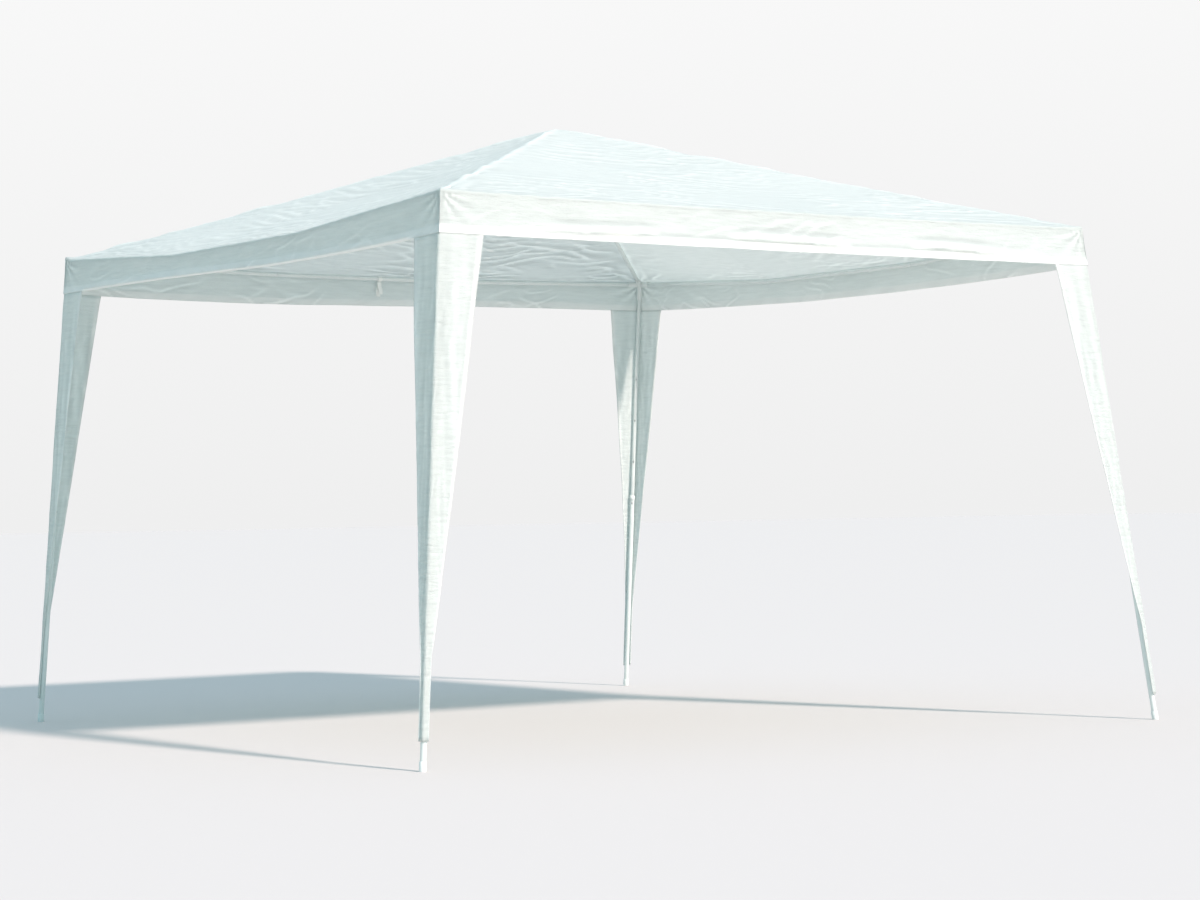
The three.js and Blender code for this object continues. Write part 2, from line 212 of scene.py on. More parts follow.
def eave_drop(side, share):
    """How far a side's folded edge hangs below its corners, from its first corner (0 to 1)."""
    tubes = 1 - np.abs(np.clip(share * 3, 0, 3) - 1.5)
    corner_kink = np.clip((tubes + 0.5), 0, 1)
    soft = corner_kink * corner_kink * (1.6 - 0.6 * corner_kink)
    return DROOPS[side] * (0.85 * corner_kink + 0.15 * soft)


def tube_hug(share, distance):
    """How far the sheet comes down onto an eave tube, less where the sockets are fatter."""
    from_corner = np.minimum(share, 1 - share) * 2 * EAVE_HALF
    depth = 0.0012 + 0.0034 * smoothstep(0.065, 0.11, from_corner)
    return depth * smoothstep(0.0, 0.010, distance) * smoothstep(0.30, 0.02, distance)


# Meshes

def new_mesh(name, points, faces, smooth=True):
    """A new object in the scene, made of points and the faces between them."""
    mesh = bpy.data.meshes.new(name)
    mesh.from_pydata([tuple(p) for p in points], [], faces)
    mesh.validate()
    mesh.update()
    if smooth:
        mesh.shade_smooth()
    obj = bpy.data.objects.new(name, mesh)
    bpy.context.scene.collection.objects.link(obj)
    return obj


def store(obj, name, values):
    """Keeps one number per point for a material to read."""
    kept = obj.data.attributes.new(name, "FLOAT", "POINT")
    kept.data.foreach_set("value", np.asarray(values, np.float32).ravel())


def cloth_map(obj, coordinates):
    """Keeps each face corner's place along and across the cloth, in metres."""
    layer = obj.data.uv_layers.new(name="cloth")
    layer.data.foreach_set("uv", np.asarray(coordinates, np.float32).ravel())


def per_loop(obj, u, v):
    """The pair of values at each face corner's point."""
    values = np.column_stack([np.ravel(u), np.ravel(v)])
    return values[[loop.vertex_index for loop in obj.data.loops]]


def grid_faces(rows, columns, turned=False):
    """Quads between neighbouring rows and columns of points, facing the other way if turned."""
    faces = []
    for i in range(rows - 1):
        for j in range(columns - 1):
            a, b = i * columns + j, i * columns + j + 1
            c, d = (i + 1) * columns + j + 1, (i + 1) * columns + j
            faces.append((a, d, c, b) if turned else (a, b, c, d))
    return faces


def thicken(obj, band):
    """Gives the sheet its thickness, more where band is 1 than where it is 0."""
    group = obj.vertex_groups.new(name="hem_thickness")
    for index, share in enumerate(np.asarray(band).ravel()):
        group.add([index], float(share), "REPLACE")
    solid = obj.modifiers.new("thickness", "SOLIDIFY")
    solid.thickness = HEM_THICKNESS
    solid.offset = 0.0
    solid.vertex_group = group.name
    solid.thickness_vertex_group = CLOTH / HEM_THICKNESS


# Canopy

def canopy_lines():
    """Grid lines from one eave to the other: even, then close together round the fold."""
    start = math.atan(SLOPE)
    turns = np.linspace(start, math.pi / 2, FOLD_STEPS + 1)
    fold = EAVE_HALF - FOLD_RADIUS + FOLD_RADIUS * np.sin(turns)
    inner = fold[0] - FINE_REACH
    wide = np.linspace(0, inner, int(round(inner / CELL)) + 1)
    close = np.linspace(inner, fold[0], int(round(FINE_REACH / FINE_CELL)) + 1)
    half = np.concatenate([wide, close[1:], fold[1:]])
    return np.concatenate([-half[:0:-1], half])


def fold_drop(distance):
    """How far the rounded fold lies below the slope carried straight on to the edge."""
    sine = np.clip((FOLD_RADIUS - distance) / FOLD_RADIUS, math.sin(math.atan(SLOPE)), 1)
    start = math.sin(math.atan(SLOPE))
    height = FOLD_RADIUS * (np.sqrt(1 - start ** 2) - np.sqrt(1 - sine ** 2))
    run = FOLD_RADIUS * (sine - start)
    return height - run * SLOPE


def side_of(x, y):
    """The name of the side that each point of the plan belongs to."""
    return np.where(np.abs(x) >= np.abs(y),
                    np.where(x < 0, "front_left", "back_right"),
                    np.where(y < 0, "front_right", "back_left"))


def share_along(side, x, y, reach):
    """How far along a side a point lies, from its first corner (0) to its second (1)."""
    first, last = (np.array(CORNERS[c], float) for c in SIDES[side]["ends"])
    along = (last - first) / 2
    return 0.5 + 0.5 * (x * along[0] + y * along[1]) / np.maximum(reach, 1e-6)


def pyramid_height(x, y, reach):
    """A blunt pyramid with rounded, sagging hips, a fold at the eaves and raised corners."""
    gap = np.abs(np.abs(x) - np.abs(y))
    soft = np.where(gap < HIP_ROUNDING, (HIP_ROUNDING - gap) ** 2 / (4 * HIP_ROUNDING), 0)
    top = reach + soft * smoothstep(0.0, 0.03, EAVE_HALF - reach)
    blunt = 1.5 * BLUNT_HALF
    run = np.sqrt(top ** 2 + blunt ** 2) - np.sqrt(EAVE_HALF ** 2 + blunt ** 2)
    z = EAVE_Z - SLOPE * run
    z = np.minimum(z, APEX_Z + 0.15 * (z - APEX_Z))
    z -= HIP_SAG * np.sin(math.pi * (reach / EAVE_HALF).clip(0, 1))
    z -= fold_drop(EAVE_HALF - reach)
    for corner, (sx, sy) in CORNERS.items():
        away = np.hypot(EAVE_HALF - x * sx, EAVE_HALF - y * sy)
        z += PEAK[corner] * np.exp(-(away / PEAK_REACH) ** 2)
    return z


def roof_height(x, y):
    """The height of the roof over each point of the plan."""
    reach = np.maximum(np.abs(x), np.abs(y))
    z = pyramid_height(x, y, reach)
    sides = side_of(x, y)
    for index, side in enumerate(SIDES):
        at = sides == side
        out = reach[at]
        share = share_along(side, x[at], y[at], out)
        middle = 1 - (2 * share - 1) ** 2
        down = (out / EAVE_HALF).clip(0, 1)
        z[at] -= eave_drop(side, share) * down ** 1.2
        z[at] -= PANEL_SAG * middle * np.sin(math.pi * down) ** 0.8
        z[at] -= tube_hug(share, EAVE_HALF - out)
        z[at] += panel_wrinkles(side, index, share, out)
        z[at] += corner_creases(index, share, out)
    return z


def panel_wrinkles(side, index, share, reach):
    """Long wrinkles along the eave, and short ones that cross the hips."""
    facts = SIDES[side]
    along = (2 * share - 1) * reach
    hip = (reach - np.abs(along)) / math.sqrt(2)
    edge = smoothstep(*EAVE_FADE, EAVE_HALF - reach)
    free = smoothstep(*HIP_FADE, hip) * edge
    body = facts["wrinkle"] * wrinkle_field(along, reach, facts["length"], index)
    body += PANEL_SWELL * noise_at(along / 0.6, reach / 0.22, 30.0 + index)
    down_hip = reach * math.sqrt(2)
    ends = [list(CORNERS).index(c) for c in facts["ends"]]
    nearest = np.where(along < 0, ends[0], ends[1])
    crossing = noise_at(down_hip / 0.060, hip / 0.12 + 50.0 * nearest, 40.0)
    scallops = noise_at(down_hip / 0.15, 50.0 * nearest, 41.0)
    hip_bumps = HIP_PUCKERS * crossing * np.exp(-(hip / 0.045) ** 2)
    hip_bumps += HIP_SCALLOPS * scallops * np.exp(-(hip / 0.030) ** 2)
    fold_puckers = EAVE_PUCKERS * noise_at(along / 0.055, reach / 0.05, 45.0 + index)
    fold_puckers *= np.exp(-((EAVE_HALF - reach) / 0.05) ** 2) * smoothstep(0.02, 0.06, hip)
    return (free * body + hip_bumps * edge + fold_puckers) * smoothstep(*TOP_FADE, reach)


def wrinkle_field(along, reach, length, index):
    """Wrinkles that run mostly along the eave, wander, and come in patches."""
    wander = 0.035 * noise_at(along / 0.30, reach / 0.30, 12.0 + index)
    long_ones = creases(along / length, (reach + wander) / 0.062, 10.0 + index, 4.0)
    short = creases(along / (0.55 * length), (reach - wander) / 0.040, 16.0 + index, 5.0)
    patches = smoothstep(-0.15, 0.35, noise_at(along / 0.45, reach / 0.30, 18.0 + index))
    others = smoothstep(-0.30, 0.20, noise_at(along / 0.60, reach / 0.35, 19.0 + index))
    small = noise_at(along / 0.09, reach / 0.026, 20.0 + index)
    return others * long_ones - 0.2 + patches * (0.6 * short - 0.12 + 0.10 * small)


def corner_creases(index, share, reach):
    """Creases that fan out from the pulled corners of a roof panel."""
    total = 0.0
    down = EAVE_HALF - reach
    for end, corner_share in enumerate((0.0, 1.0)):
        along = np.abs(share - corner_share) * 2 * reach + down
        distance = np.hypot(along, down)
        angle = np.arctan2(down, along + 1e-6)
        fan = np.sin(angle * 24 + 3 * end + index) * smoothstep(0.02, 0.06, distance)
        total = total + ROOF_FAN * fan * np.exp(-distance / 0.16) * smoothstep(0, 0.03, down)
    return total


def hem_height(side, share):
    """The height of a valance's lower edge."""
    first, last = SIDES[side]["ends"]
    sag, skew = SIDES[side]["hem"]
    straight = HEM_DROP[first] + (HEM_DROP[last] - HEM_DROP[first]) * share
    curve = sag * np.sin(math.pi * share) + skew * np.sin(2 * math.pi * share)
    ripple = HEM_RIPPLE * noise_at(share * 14, 0.0, 3.3 + len(side)) * np.sin(math.pi * share)
    return EAVE_Z - straight - curve + ripple


def hem_corner(corner):
    """The corner edge where the hem meets it, in plan."""
    top, _, end = EDGES[corner]
    z = EAVE_Z - HEM_DROP[corner]
    share = (z - top[2]) / (end[2] - top[2])
    return top[:2] + (end[:2] - top[:2]) * share


def valance_push(side, index, share, depth):
    """How far a valance stands out of its plane: ripples that grow towards the hem."""
    along = share * 2 * EAVE_HALF
    slow = noise_at(along / 0.42, depth * 0.6, 50.0 + index)
    quick = noise_at(along / 0.13 + depth * 0.7, depth * 0.9, 60.0 + index)
    fine = slanting_creases(along, depth, index)
    ends = smoothstep(0.02, 0.10, share) * smoothstep(0.02, 0.10, 1 - share)
    slow_size, quick_size = VALANCE_WAVES
    body = depth * (slow_size * slow + quick_size * quick) * ends
    shown = smoothstep(0.02, 0.25, depth) * (0.3 + 0.7 * ends)
    body = body + VALANCE_CREASES * (fine - 0.25) * shown
    for end, from_corner in enumerate((along, 2 * EAVE_HALF - along)):
        drop = depth * VALANCE_DEPTH
        distance = np.hypot(from_corner, drop)
        angle = np.arctan2(drop, from_corner + 1e-6)
        fan = np.sin(angle * 13 + 2.1 * end + 1.3 * index)
        near = np.exp(-distance / 0.12) * smoothstep(0.010, 0.035, from_corner)
        body = body + VALANCE_FAN * fan * near * smoothstep(0.03, 0.2, depth)
        body = body + pinches(SIDES[side]["ends"][end], from_corner, depth)
    if side == LIFTED_SIDE:
        body = body + lifted_hem(share, depth)
    return body


def slanting_creases(along, depth, index):
    """A few creases that lean one way or the other, here and there along a valance."""
    total = 0.25
    warp = 0.35 * noise_at(along / 0.11, depth * 2.2, 68.0 + index)
    for lean, seed in ((0.9, 70.0), (-1.3, 74.0)):
        patch = smoothstep(0.05, 0.35, noise_at(along / 0.40, depth * 0.5, seed + 2.0 + index))
        ridge = creases(along / 0.17 + depth * lean + warp, depth * 1.3, seed + index, 5.0)
        total = total + 0.55 * patch * ridge
    return total


def lifted_hem(share, depth):
    """The lower part of a valance folded along a wandering line: a lip, then a step back."""
    line = 0.72 + 0.14 * (2 * share - 1) ** 2 + 0.09 * noise_at(share * 6, 0.0, 77.0)
    middle = smoothstep(0.06, 0.20, share) * smoothstep(0.08, 0.22, 1 - share)
    patches = smoothstep(-0.25, 0.15, noise_at(share * 7, 0.0, 78.0))
    lip = smoothstep(line - 0.30, line - 0.01, depth) * smoothstep(line + 0.045, line, depth)
    step = LIFTED_STEP * np.clip(depth - line, 0, 1)
    return middle * (LIFTED_LIP * patches * lip + step)


def pinches(corner, from_corner, depth):
    """Short upright puckers where the sheet is pulled over a corner's connector."""
    turn = from_corner * 2 * math.pi / PINCH_SPACING + 9 * depth * from_corner / 0.05
    ripple = np.cos(turn)
    near = np.exp(-(from_corner / 0.045) ** 2) * smoothstep(0.004, 0.012, from_corner)
    height = smoothstep(0.75, 0.15, depth) * smoothstep(0.0, 0.06, depth)
    return PINCH[corner] * ripple * near * height


def hem_flare(side, share, depth):
    """The stiff doubled edge turns outwards, except where a leg cover is sewn to it."""
    clear = smoothstep(*PAST_COVER, share) * smoothstep(*PAST_COVER, 1 - share)
    turned = np.clip((depth - HEM_START) / (1 - HEM_START), 0, 1)
    return HEM_FLARE[side] * clear * turned ** 1.6


def curvature(height, rows, columns):
    """How sharply a height field bends, in 1/m, rows and columns being its own spacing."""
    down = np.gradient(np.gradient(height, rows, axis=0), rows, axis=0)
    across = np.gradient(np.gradient(height, columns, axis=1), columns, axis=1)
    return down + across


def rim_of(n):
    """The grid's outermost points in order, each by its two places on the grid."""
    last = n - 1
    return ([(i, 0) for i in range(last)] + [(last, j) for j in range(last)]
            + [(i, last) for i in range(last, 0, -1)] + [(0, j) for j in range(last, 0, -1)])


def canopy_points():
    """The roof's grid, its rim, the valance's rows below it, and how every point bends, with one
    hem's turned edge set to fully bent for a painted highlight.
    """
    lines = canopy_lines()
    x, y = np.meshgrid(lines, lines, indexing="ij")
    z = roof_height(x, y)
    roof = np.stack([x, y, z], axis=-1)
    rim = rim_of(len(lines))
    edge = np.array([roof[i, j] for i, j in rim])
    sides = rim_sides(edge)
    rows, pushes = valance_rows(edge, sides)
    inside = smoothstep(0.015, 0.045, EAVE_HALF - np.maximum(abs(x), abs(y)))
    ridges = -curvature(z, lines, lines) * inside
    steps = np.array(VALANCE_STEPS)
    folds = -curvature(pushes, steps * CREASED_DEPTH, np.arange(len(edge)) * CELL)
    along = np.minimum(np.abs(edge[:, 0]), np.abs(edge[:, 1]))
    # One hem's turned edge is set to fully bent, so that the material paints a highlight along it
    bright = (sides == PAINTED_HIGHLIGHT_HEM) & (along < EAVE_HALF - PAINTED_HIGHLIGHT_FROM)
    folds = np.where((steps[:, None] > HEM_START + 0.02) & bright, CREASE_BEND, folds)
    return roof, rim, rows, np.concatenate([ridges.ravel(), folds.ravel()])


def rim_sides(edge):
    """The side that each point of the rim is on. A corner is on the first of its two."""
    return np.array([next(s for s in SIDES if p[:2] @ np.array(SIDES[s]["out"]) > EAVE_HALF - 1e-6)
                     for p in edge])


def valance_rows(edge, sides):
    """Rows of points from just under the fold down to the hem, right round the canopy."""
    rows = np.zeros((len(VALANCE_STEPS), len(edge), 3))
    pushes = np.zeros(rows.shape[:2])
    for index, (side, facts) in enumerate(SIDES.items()):
        at = sides == side
        top = edge[at]
        share = share_along(side, top[:, 0], top[:, 1], np.full(len(top), EAVE_HALF))
        first, last = (hem_corner(c) for c in facts["ends"])
        hem = np.column_stack([
            first[0] + (last[0] - first[0]) * share,
            first[1] + (last[1] - first[1]) * share,
            hem_height(side, share),
        ])
        out = np.array([*facts["out"], 0.0])
        for k, depth in enumerate(VALANCE_STEPS):
            flat = top + (hem - top) * depth
            bend = VALANCE_BULGE * math.sin(math.pi * depth)
            push = valance_push(side, index, share, np.full(len(top), depth))
            pushes[k, at] = push
            push = push + hem_flare(side, share, depth) - bend
            rows[k, at] = flat + np.outer(push, out)
    return rows, pushes


def canopy_faces(n, rim, base):
    """Quads of the grid and the rows, with the cells on the hips split along the hip."""
    faces = []
    for i in range(n - 1):
        for j in range(n - 1):
            a, b = i * n + j, (i + 1) * n + j
            c, d = b + 1, a + 1
            if i == j:
                faces += [(a, b, c), (a, c, d)]
            elif i + j == n - 2:
                faces += [(a, b, d), (b, c, d)]
            else:
                faces.append((a, b, c, d))
    ring = [i * n + j for i, j in rim]
    count = len(ring)
    for k in range(len(VALANCE_STEPS)):
        upper = ring if k == 0 else [base + (k - 1) * count + m for m in range(count)]
        lower = [base + k * count + m for m in range(count)]
        for m in range(count):
            w = (m + 1) % count
            faces.append((upper[m], lower[m], lower[w], upper[w]))
    return faces


def canopy_sheet():
    """Roof and valance as one sheet, standing for their eight CAD nodes."""
    roof, rim, rows, ridges = canopy_points()
    n = len(roof)
    points = np.concatenate([roof.reshape(-1, 3), rows.reshape(-1, 3)])
    faces = canopy_faces(n, rim, n * n)
    obj = new_mesh("canopy_sheet", points, faces)
    plan = np.abs(rows[-1][:, :2])
    from_corner = EAVE_HALF - np.minimum(plan[:, 0], plan[:, 1])
    above = rows[..., 2] - rows[-1][:, 2]
    doubled = smoothstep(HEM_BAND + 0.001, HEM_BAND - 0.001, above)
    thick = doubled * smoothstep(*SINGLE_HEM, from_corner)
    single = np.zeros(n * n)
    band, thick = (np.concatenate([single, part.ravel()]) for part in (doubled, thick))
    store(obj, "hem", band)
    store(obj, "crumple", canopy_crumple(points, n * n))
    store(obj, "crease", (ridges / CREASE_BEND).clip(-1, 1))
    cloth_map(obj, canopy_coordinates(obj))
    thicken(obj, thick)
    for side in SIDES:
        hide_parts(f"roof_panel_{side}", f"valance_{side}")
    return obj


def canopy_crumple(points, roof_count):
    """How crumpled the cloth is at each point, from 0 to 1."""
    values = np.full(len(points), 0.5)
    x, y = points[:roof_count, 0], points[:roof_count, 1]
    names = side_of(x, y)
    for side, facts in SIDES.items():
        values[:roof_count][names == side] = facts["crumple"]
    return values


def canopy_coordinates(obj):
    """Along the eave and down the cloth for each face corner, by the side its face is on."""
    mesh = obj.data
    co = np.zeros(len(mesh.vertices) * 3)
    mesh.vertices.foreach_get("co", co)
    co = co.reshape(-1, 3)
    result = np.zeros((len(mesh.loops), 2))
    for face in mesh.polygons:
        cx, cy, _ = face.center
        by_x = abs(cx) >= abs(cy)
        for loop in face.loop_indices:
            p = co[mesh.loops[loop].vertex_index]
            along, reach = (p[1], abs(p[0])) if by_x else (p[0], abs(p[1]))
            down = min(reach, EAVE_HALF) + max(0.0, EAVE_Z - p[2])
            result[loop] = (along, down)
    return result


# Leg covers

def cover_section(corner, edge, widths):
    """One level from free edge to free edge: its points, outward directions and places across.

    It has a face, the rounded corner and the other face. A place across is in metres from the
    corner, less than zero on the first face.
    """
    sign = np.array(CORNERS[corner], float)
    r = COVER_EDGE_RADIUS
    face = np.linspace(1, 0, COVER_FACE_COLUMNS)
    points, outs, spans = [], [], []
    for w in face:
        span = r + (widths[0] - r) * w
        points.append(edge + np.array([-sign[0] * span, 0, 0]))
        outs.append((0, sign[1], 0))
        spans.append(-span)
    for k in range(1, COVER_EDGE_STEPS):
        turn = 0.5 * math.pi * k / COVER_EDGE_STEPS
        offset = (-r + r * math.sin(turn), -r + r * math.cos(turn))
        points.append(edge + np.array([sign[0] * offset[0], sign[1] * offset[1], 0]))
        outs.append((sign[0] * math.sin(turn), sign[1] * math.cos(turn), 0))
        spans.append(r * (2 * k / COVER_EDGE_STEPS - 1))
    for w in face[::-1]:
        span = r + (widths[1] - r) * w
        points.append(edge + np.array([0, -sign[1] * span, 0]))
        outs.append((sign[0], 0, 0))
        spans.append(span)
    return np.array(points), np.array(outs, float), np.array(spans)


def seam_shares(corner, spans, sides):
    """For each of a cover's points, its side and how far along that side it lies."""
    for side, chosen in zip(sides, (spans < 0, spans >= 0)):
        share = np.abs(spans) / (2 * EAVE_HALF)
        if SIDES[side]["ends"][1] == corner:
            share = 1 - share
        yield side, chosen, share


def seam_push(corner, spans, sides, depth):
    """The valance's own push at a depth, so that the cover's top lies along it."""
    push = np.zeros(len(spans))
    for side, chosen, share in seam_shares(corner, spans, sides):
        index = list(SIDES).index(side)
        push[chosen] = valance_push(side, index, share, np.full(len(spans), depth))[chosen]
    return push


def seam_rise(corner, spans, sides):
    """How far the valance's hem is above its height at the corner."""
    rise = np.zeros(len(spans))
    for side, chosen, share in seam_shares(corner, spans, sides):
        rise[chosen] = (hem_height(side, share) - EAVE_Z + HEM_DROP[corner])[chosen]
    return rise


def cover_sides(corner):
    """The sides that a cover's two faces lie along: first the one facing Y, then X."""
    return [next(s for s in COVER_WIDTHS[corner] if SIDES[s]["out"][axis] == CORNERS[corner][axis])
            for axis in (1, 0)]


def cover_widths(corner, sides, share):
    """The widths of a cover's two faces, at a share of the way up from its neck to the seam."""
    widths = []
    for side in sides:
        neck = NECK_WIDTHS.get((corner, side), NECK_WIDTH)
        power = TAPERS.get((corner, side), TAPER)
        widths.append(neck + (COVER_WIDTHS[corner][side] - neck) * share ** power)
    return widths


def cover_push(spans, z, number):
    """How far a cover stands out of its faces: upright waves, less where the edge is stiff."""
    narrow, broad, crease = COVER_WAVES
    free = smoothstep(0.035, 0.09, np.abs(spans))
    down = np.ones_like(spans)
    push = narrow * noise_at(spans / 0.045, down * z / 0.34, 80.0 + number)
    push += broad * free * noise_at(spans / 0.10, down * z / 0.5, 90.0 + number)
    push += crease * (creases(spans / 0.03, down * z / 0.22, 95.0 + number) - 0.3)
    return np.where(free < 0.9, np.maximum(push, -0.0012), push)


def cover_row(corner, number, sides, z):
    """One level of a cover: its points, their places across it, how far to its edge, and push."""
    top, neck, end = EDGES[corner]
    sign = CORNERS[corner]
    seam_z = EAVE_Z - HEM_DROP[corner]
    edge = top + (end - top) * ((z - top[2]) / (end[2] - top[2]))
    widths = cover_widths(corner, sides, np.clip((z - neck[2]) / (seam_z - neck[2]), 0, 1.05))
    tuck = COVER_INSET * smoothstep(-0.05, 0.0, z - seam_z)
    inset = edge - np.array([sign[0] * tuck, sign[1] * tuck, 0])
    points, outs, spans = cover_section(corner, inset, widths)
    to_edge = np.abs(spans) / np.where(spans < 0, widths[0], widths[1])
    low = smoothstep(0.0, 0.22, seam_z - z)
    depth = min(1.0, (EAVE_Z - z) / HEM_DROP[corner])
    push = cover_push(spans, z, number) * low
    push = push + seam_push(corner, spans, sides, depth) * (1 - low)
    curl = COVER_CURL * smoothstep(0.90, 1.0, to_edge) * low
    points = points + outs * (push + curl)[:, None]
    points[:, 2] += seam_rise(corner, spans, sides) * (1 - low)
    return points, spans, to_edge, push


def leg_cover(corner, number):
    """Two tapering faces sewn along the corner edge, hanging from the valance's hem."""
    sides = cover_sides(corner)
    top_z = EAVE_Z - HEM_DROP[corner] + COVER_TUCK
    levels = np.linspace(top_z, EDGES[corner][2][2], COVER_ROWS)
    made = [cover_row(corner, number, sides, z) for z in levels]
    grid, spans, to_edge, pushes = (np.array(part) for part in zip(*made))
    rows, columns = spans.shape
    turned = CORNERS[corner][0] * CORNERS[corner][1] > 0
    faces = grid_faces(rows, columns, turned)
    obj = new_mesh(f"leg_cover_sheet_{corner}", grid.reshape(-1, 3), faces)
    hem = smoothstep(0.86, 0.90, to_edge)
    folds = curvature(pushes, levels, np.arange(columns) * COVER_COLUMN)
    store(obj, "hem", hem)
    store(obj, "crumple", np.full(hem.size, 0.5))
    store(obj, "crease", (-folds / CREASE_BEND).clip(-1, 1))
    cloth_map(obj, per_loop(obj, spans, -grid[..., 2]))
    thicken(obj, hem)
    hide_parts(f"leg_cover_{corner}")
    return obj


# Tie ribbon

RIBBON_WIDTH = 0.020
RIBBON_LOOP = 0.0108     # the tape's radius round the eave tube
RIBBON_ACROSS = (-1, -0.5, 0, 0.5, 1)
RIBBON_TURNS = 24        # steps of the loop, and then of each tail
RIBBON_TAIL = 15
RIBBON_TUCKED = 0.88     # its width where it passes through the knot


def ribbon_run():
    """The tape's middle line: up one tail, round the tube, and down the other."""
    r = RIBBON_LOOP
    turns = [math.radians(-82 + 344 * k / RIBBON_TURNS) for k in range(RIBBON_TURNS + 1)]
    loop = [Vector((0, r * math.cos(turn), r * math.sin(turn))) for turn in turns]
    steps = range(1, RIBBON_TAIL + 1)
    near = [Vector((0.0035 * math.sin(k * 0.5), 0.0014 + 0.0010 * k, -r - 0.0045 * k))
            for k in steps]
    far = [Vector((-0.004 * math.sin(k * 0.4), -0.0014 - 0.0004 * k, -r - 0.0040 * k))
           for k in steps]
    return far[::-1] + loop + near


def tie_ribbon():
    """A woven tape once round the eave tube, crossed at a knot, with two short tails."""
    low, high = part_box("tie_ribbon_back_left")
    centre = Vector(((low.x + high.x) / 2, (low.y + high.y) / 2, high.z - RIBBON_LOOP - 0.001))
    run = ribbon_run()
    knots = (RIBBON_TAIL, RIBBON_TAIL + RIBBON_TURNS + 1)
    points = []
    for k, p in enumerate(run):
        twist = 0.12 * math.sin(k * 0.22)
        pinch = RIBBON_TUCKED if min(abs(k - knot) for knot in knots) < 2 else 1.0
        half = RIBBON_WIDTH / 2 * pinch
        for s in RIBBON_ACROSS:
            curl = 0.0010 * (1 - s * s)
            points.append(centre + p + Vector((half * s, curl + twist * 0.004 * s, 0)))
    columns = len(RIBBON_ACROSS)
    obj = new_mesh("tie_ribbon_tape", points, grid_faces(len(run), columns))
    along, across = np.divmod(np.arange(len(points)), columns)
    cloth_map(obj, per_loop(obj, across / (columns - 1) * RIBBON_WIDTH, along * 0.0045))
    plain = np.zeros(len(points))
    for name in ("hem", "crumple", "crease"):
        store(obj, name, plain)
    thicken(obj, plain)
    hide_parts("tie_ribbon_back_left")
    return obj


# Materials

# Crease colour: ridges whiten as creased sheet does, hollows get painted shade, and the same
# lightening paints a highlight along one hem
CREASE_PAINTED_SHADE = (0.86, 0.88, 0.87, 1)
CREASE_WHITENING_AND_HIGHLIGHT = (1.12, 1.12, 1.11, 1)
THROUGH = 0.52           # share of each face of the sheet that lets light through
HEM_BLOCKS = 0.4         # how much of that share the doubled edge takes away
SHEET_ROUGHNESS = (0.46, 0.66)
SHEET_SPECULAR = 0.35
CRUMPLE_HEIGHT = 0.011


def material(name):
    made = bpy.data.materials.new(name)
    made.use_nodes = True
    return made, made.node_tree, made.node_tree.nodes["Principled BSDF"]


def add(tree, kind, **values):
    """A new node, with each value put on its socket, or on the node if it has no such socket."""
    node = tree.nodes.new(kind)
    for key, value in values.items():
        if key in node.inputs:
            node.inputs[key].default_value = value
        else:
            setattr(node, key, value)
    return node


def attribute(tree, name):
    """The number that each point of the sheet keeps under a name."""
    return add(tree, "ShaderNodeAttribute", attribute_name=name).outputs["Fac"]


def mixed(tree, factor, first, second, blend="MIX"):
    """A colour mix. Each of factor, first and second is a value or a socket."""
    node = add(tree, "ShaderNodeMix", data_type="RGBA", blend_type=blend)
    for place, value in ((0, factor), (6, first), (7, second)):
        if isinstance(value, bpy.types.NodeSocket):
            tree.links.new(value, node.inputs[place])
        else:
            node.inputs[place].default_value = value
    return node.outputs[2]


def product(tree, first, second):
    node = add(tree, "ShaderNodeMath", operation="MULTIPLY")
    tree.links.new(first, node.inputs[0])
    tree.links.new(second, node.inputs[1])
    return node.outputs["Value"]


def bumped(tree, height, strength, distance, normal=None):
    node = add(tree, "ShaderNodeBump", Strength=strength, Distance=distance)
    tree.links.new(height, node.inputs["Height"])
    if normal is not None:
        tree.links.new(normal, node.inputs["Normal"])
    return node.outputs["Normal"]


def mapped(tree, source, **limits):
    node = add(tree, "ShaderNodeMapRange", **limits)
    tree.links.new(source, node.inputs["Value"])
    return node.outputs["Result"]


def ramped(tree, source, low, high):
    """A value cut off at low and high, which become 0 and 1."""
    return mapped(tree, source, **{"From Min": low, "From Max": high})


def spread(tree, source, low, high):
    """A value from 0 to 1 stretched to go from low to high."""
    return mapped(tree, source, **{"To Min": low, "To Max": high})


def darker(colour, share):
    return tuple(c * share for c in colour[:3]) + (1.0,)


def scaled(tree, source, scale):
    """The same coordinates stretched by a factor along each axis."""
    mapping = add(tree, "ShaderNodeMapping", Scale=(*scale, 1.0))
    tree.links.new(source, mapping.inputs["Vector"])
    return mapping.outputs["Vector"]


def cloth_noise(tree, uv, scale, detail, roughness):
    """Noise with its own scale along and down the cloth, in cycles per metre."""
    node = add(tree, "ShaderNodeTexNoise", Scale=1.0, Detail=detail, Roughness=roughness)
    tree.links.new(scaled(tree, uv, scale), node.inputs["Vector"])
    return node.outputs["Fac"]


def woven(tree, uv, weave):
    """The height of flat tapes that run over and under each other."""
    waves = []
    for direction in "XY":
        wave = add(tree, "ShaderNodeTexWave", wave_type="BANDS", bands_direction=direction,
                   Scale=1.0)
        tree.links.new(scaled(tree, uv, (weave, weave)), wave.inputs["Vector"])
        waves.append(wave.outputs["Fac"])
    return product(tree, *waves)


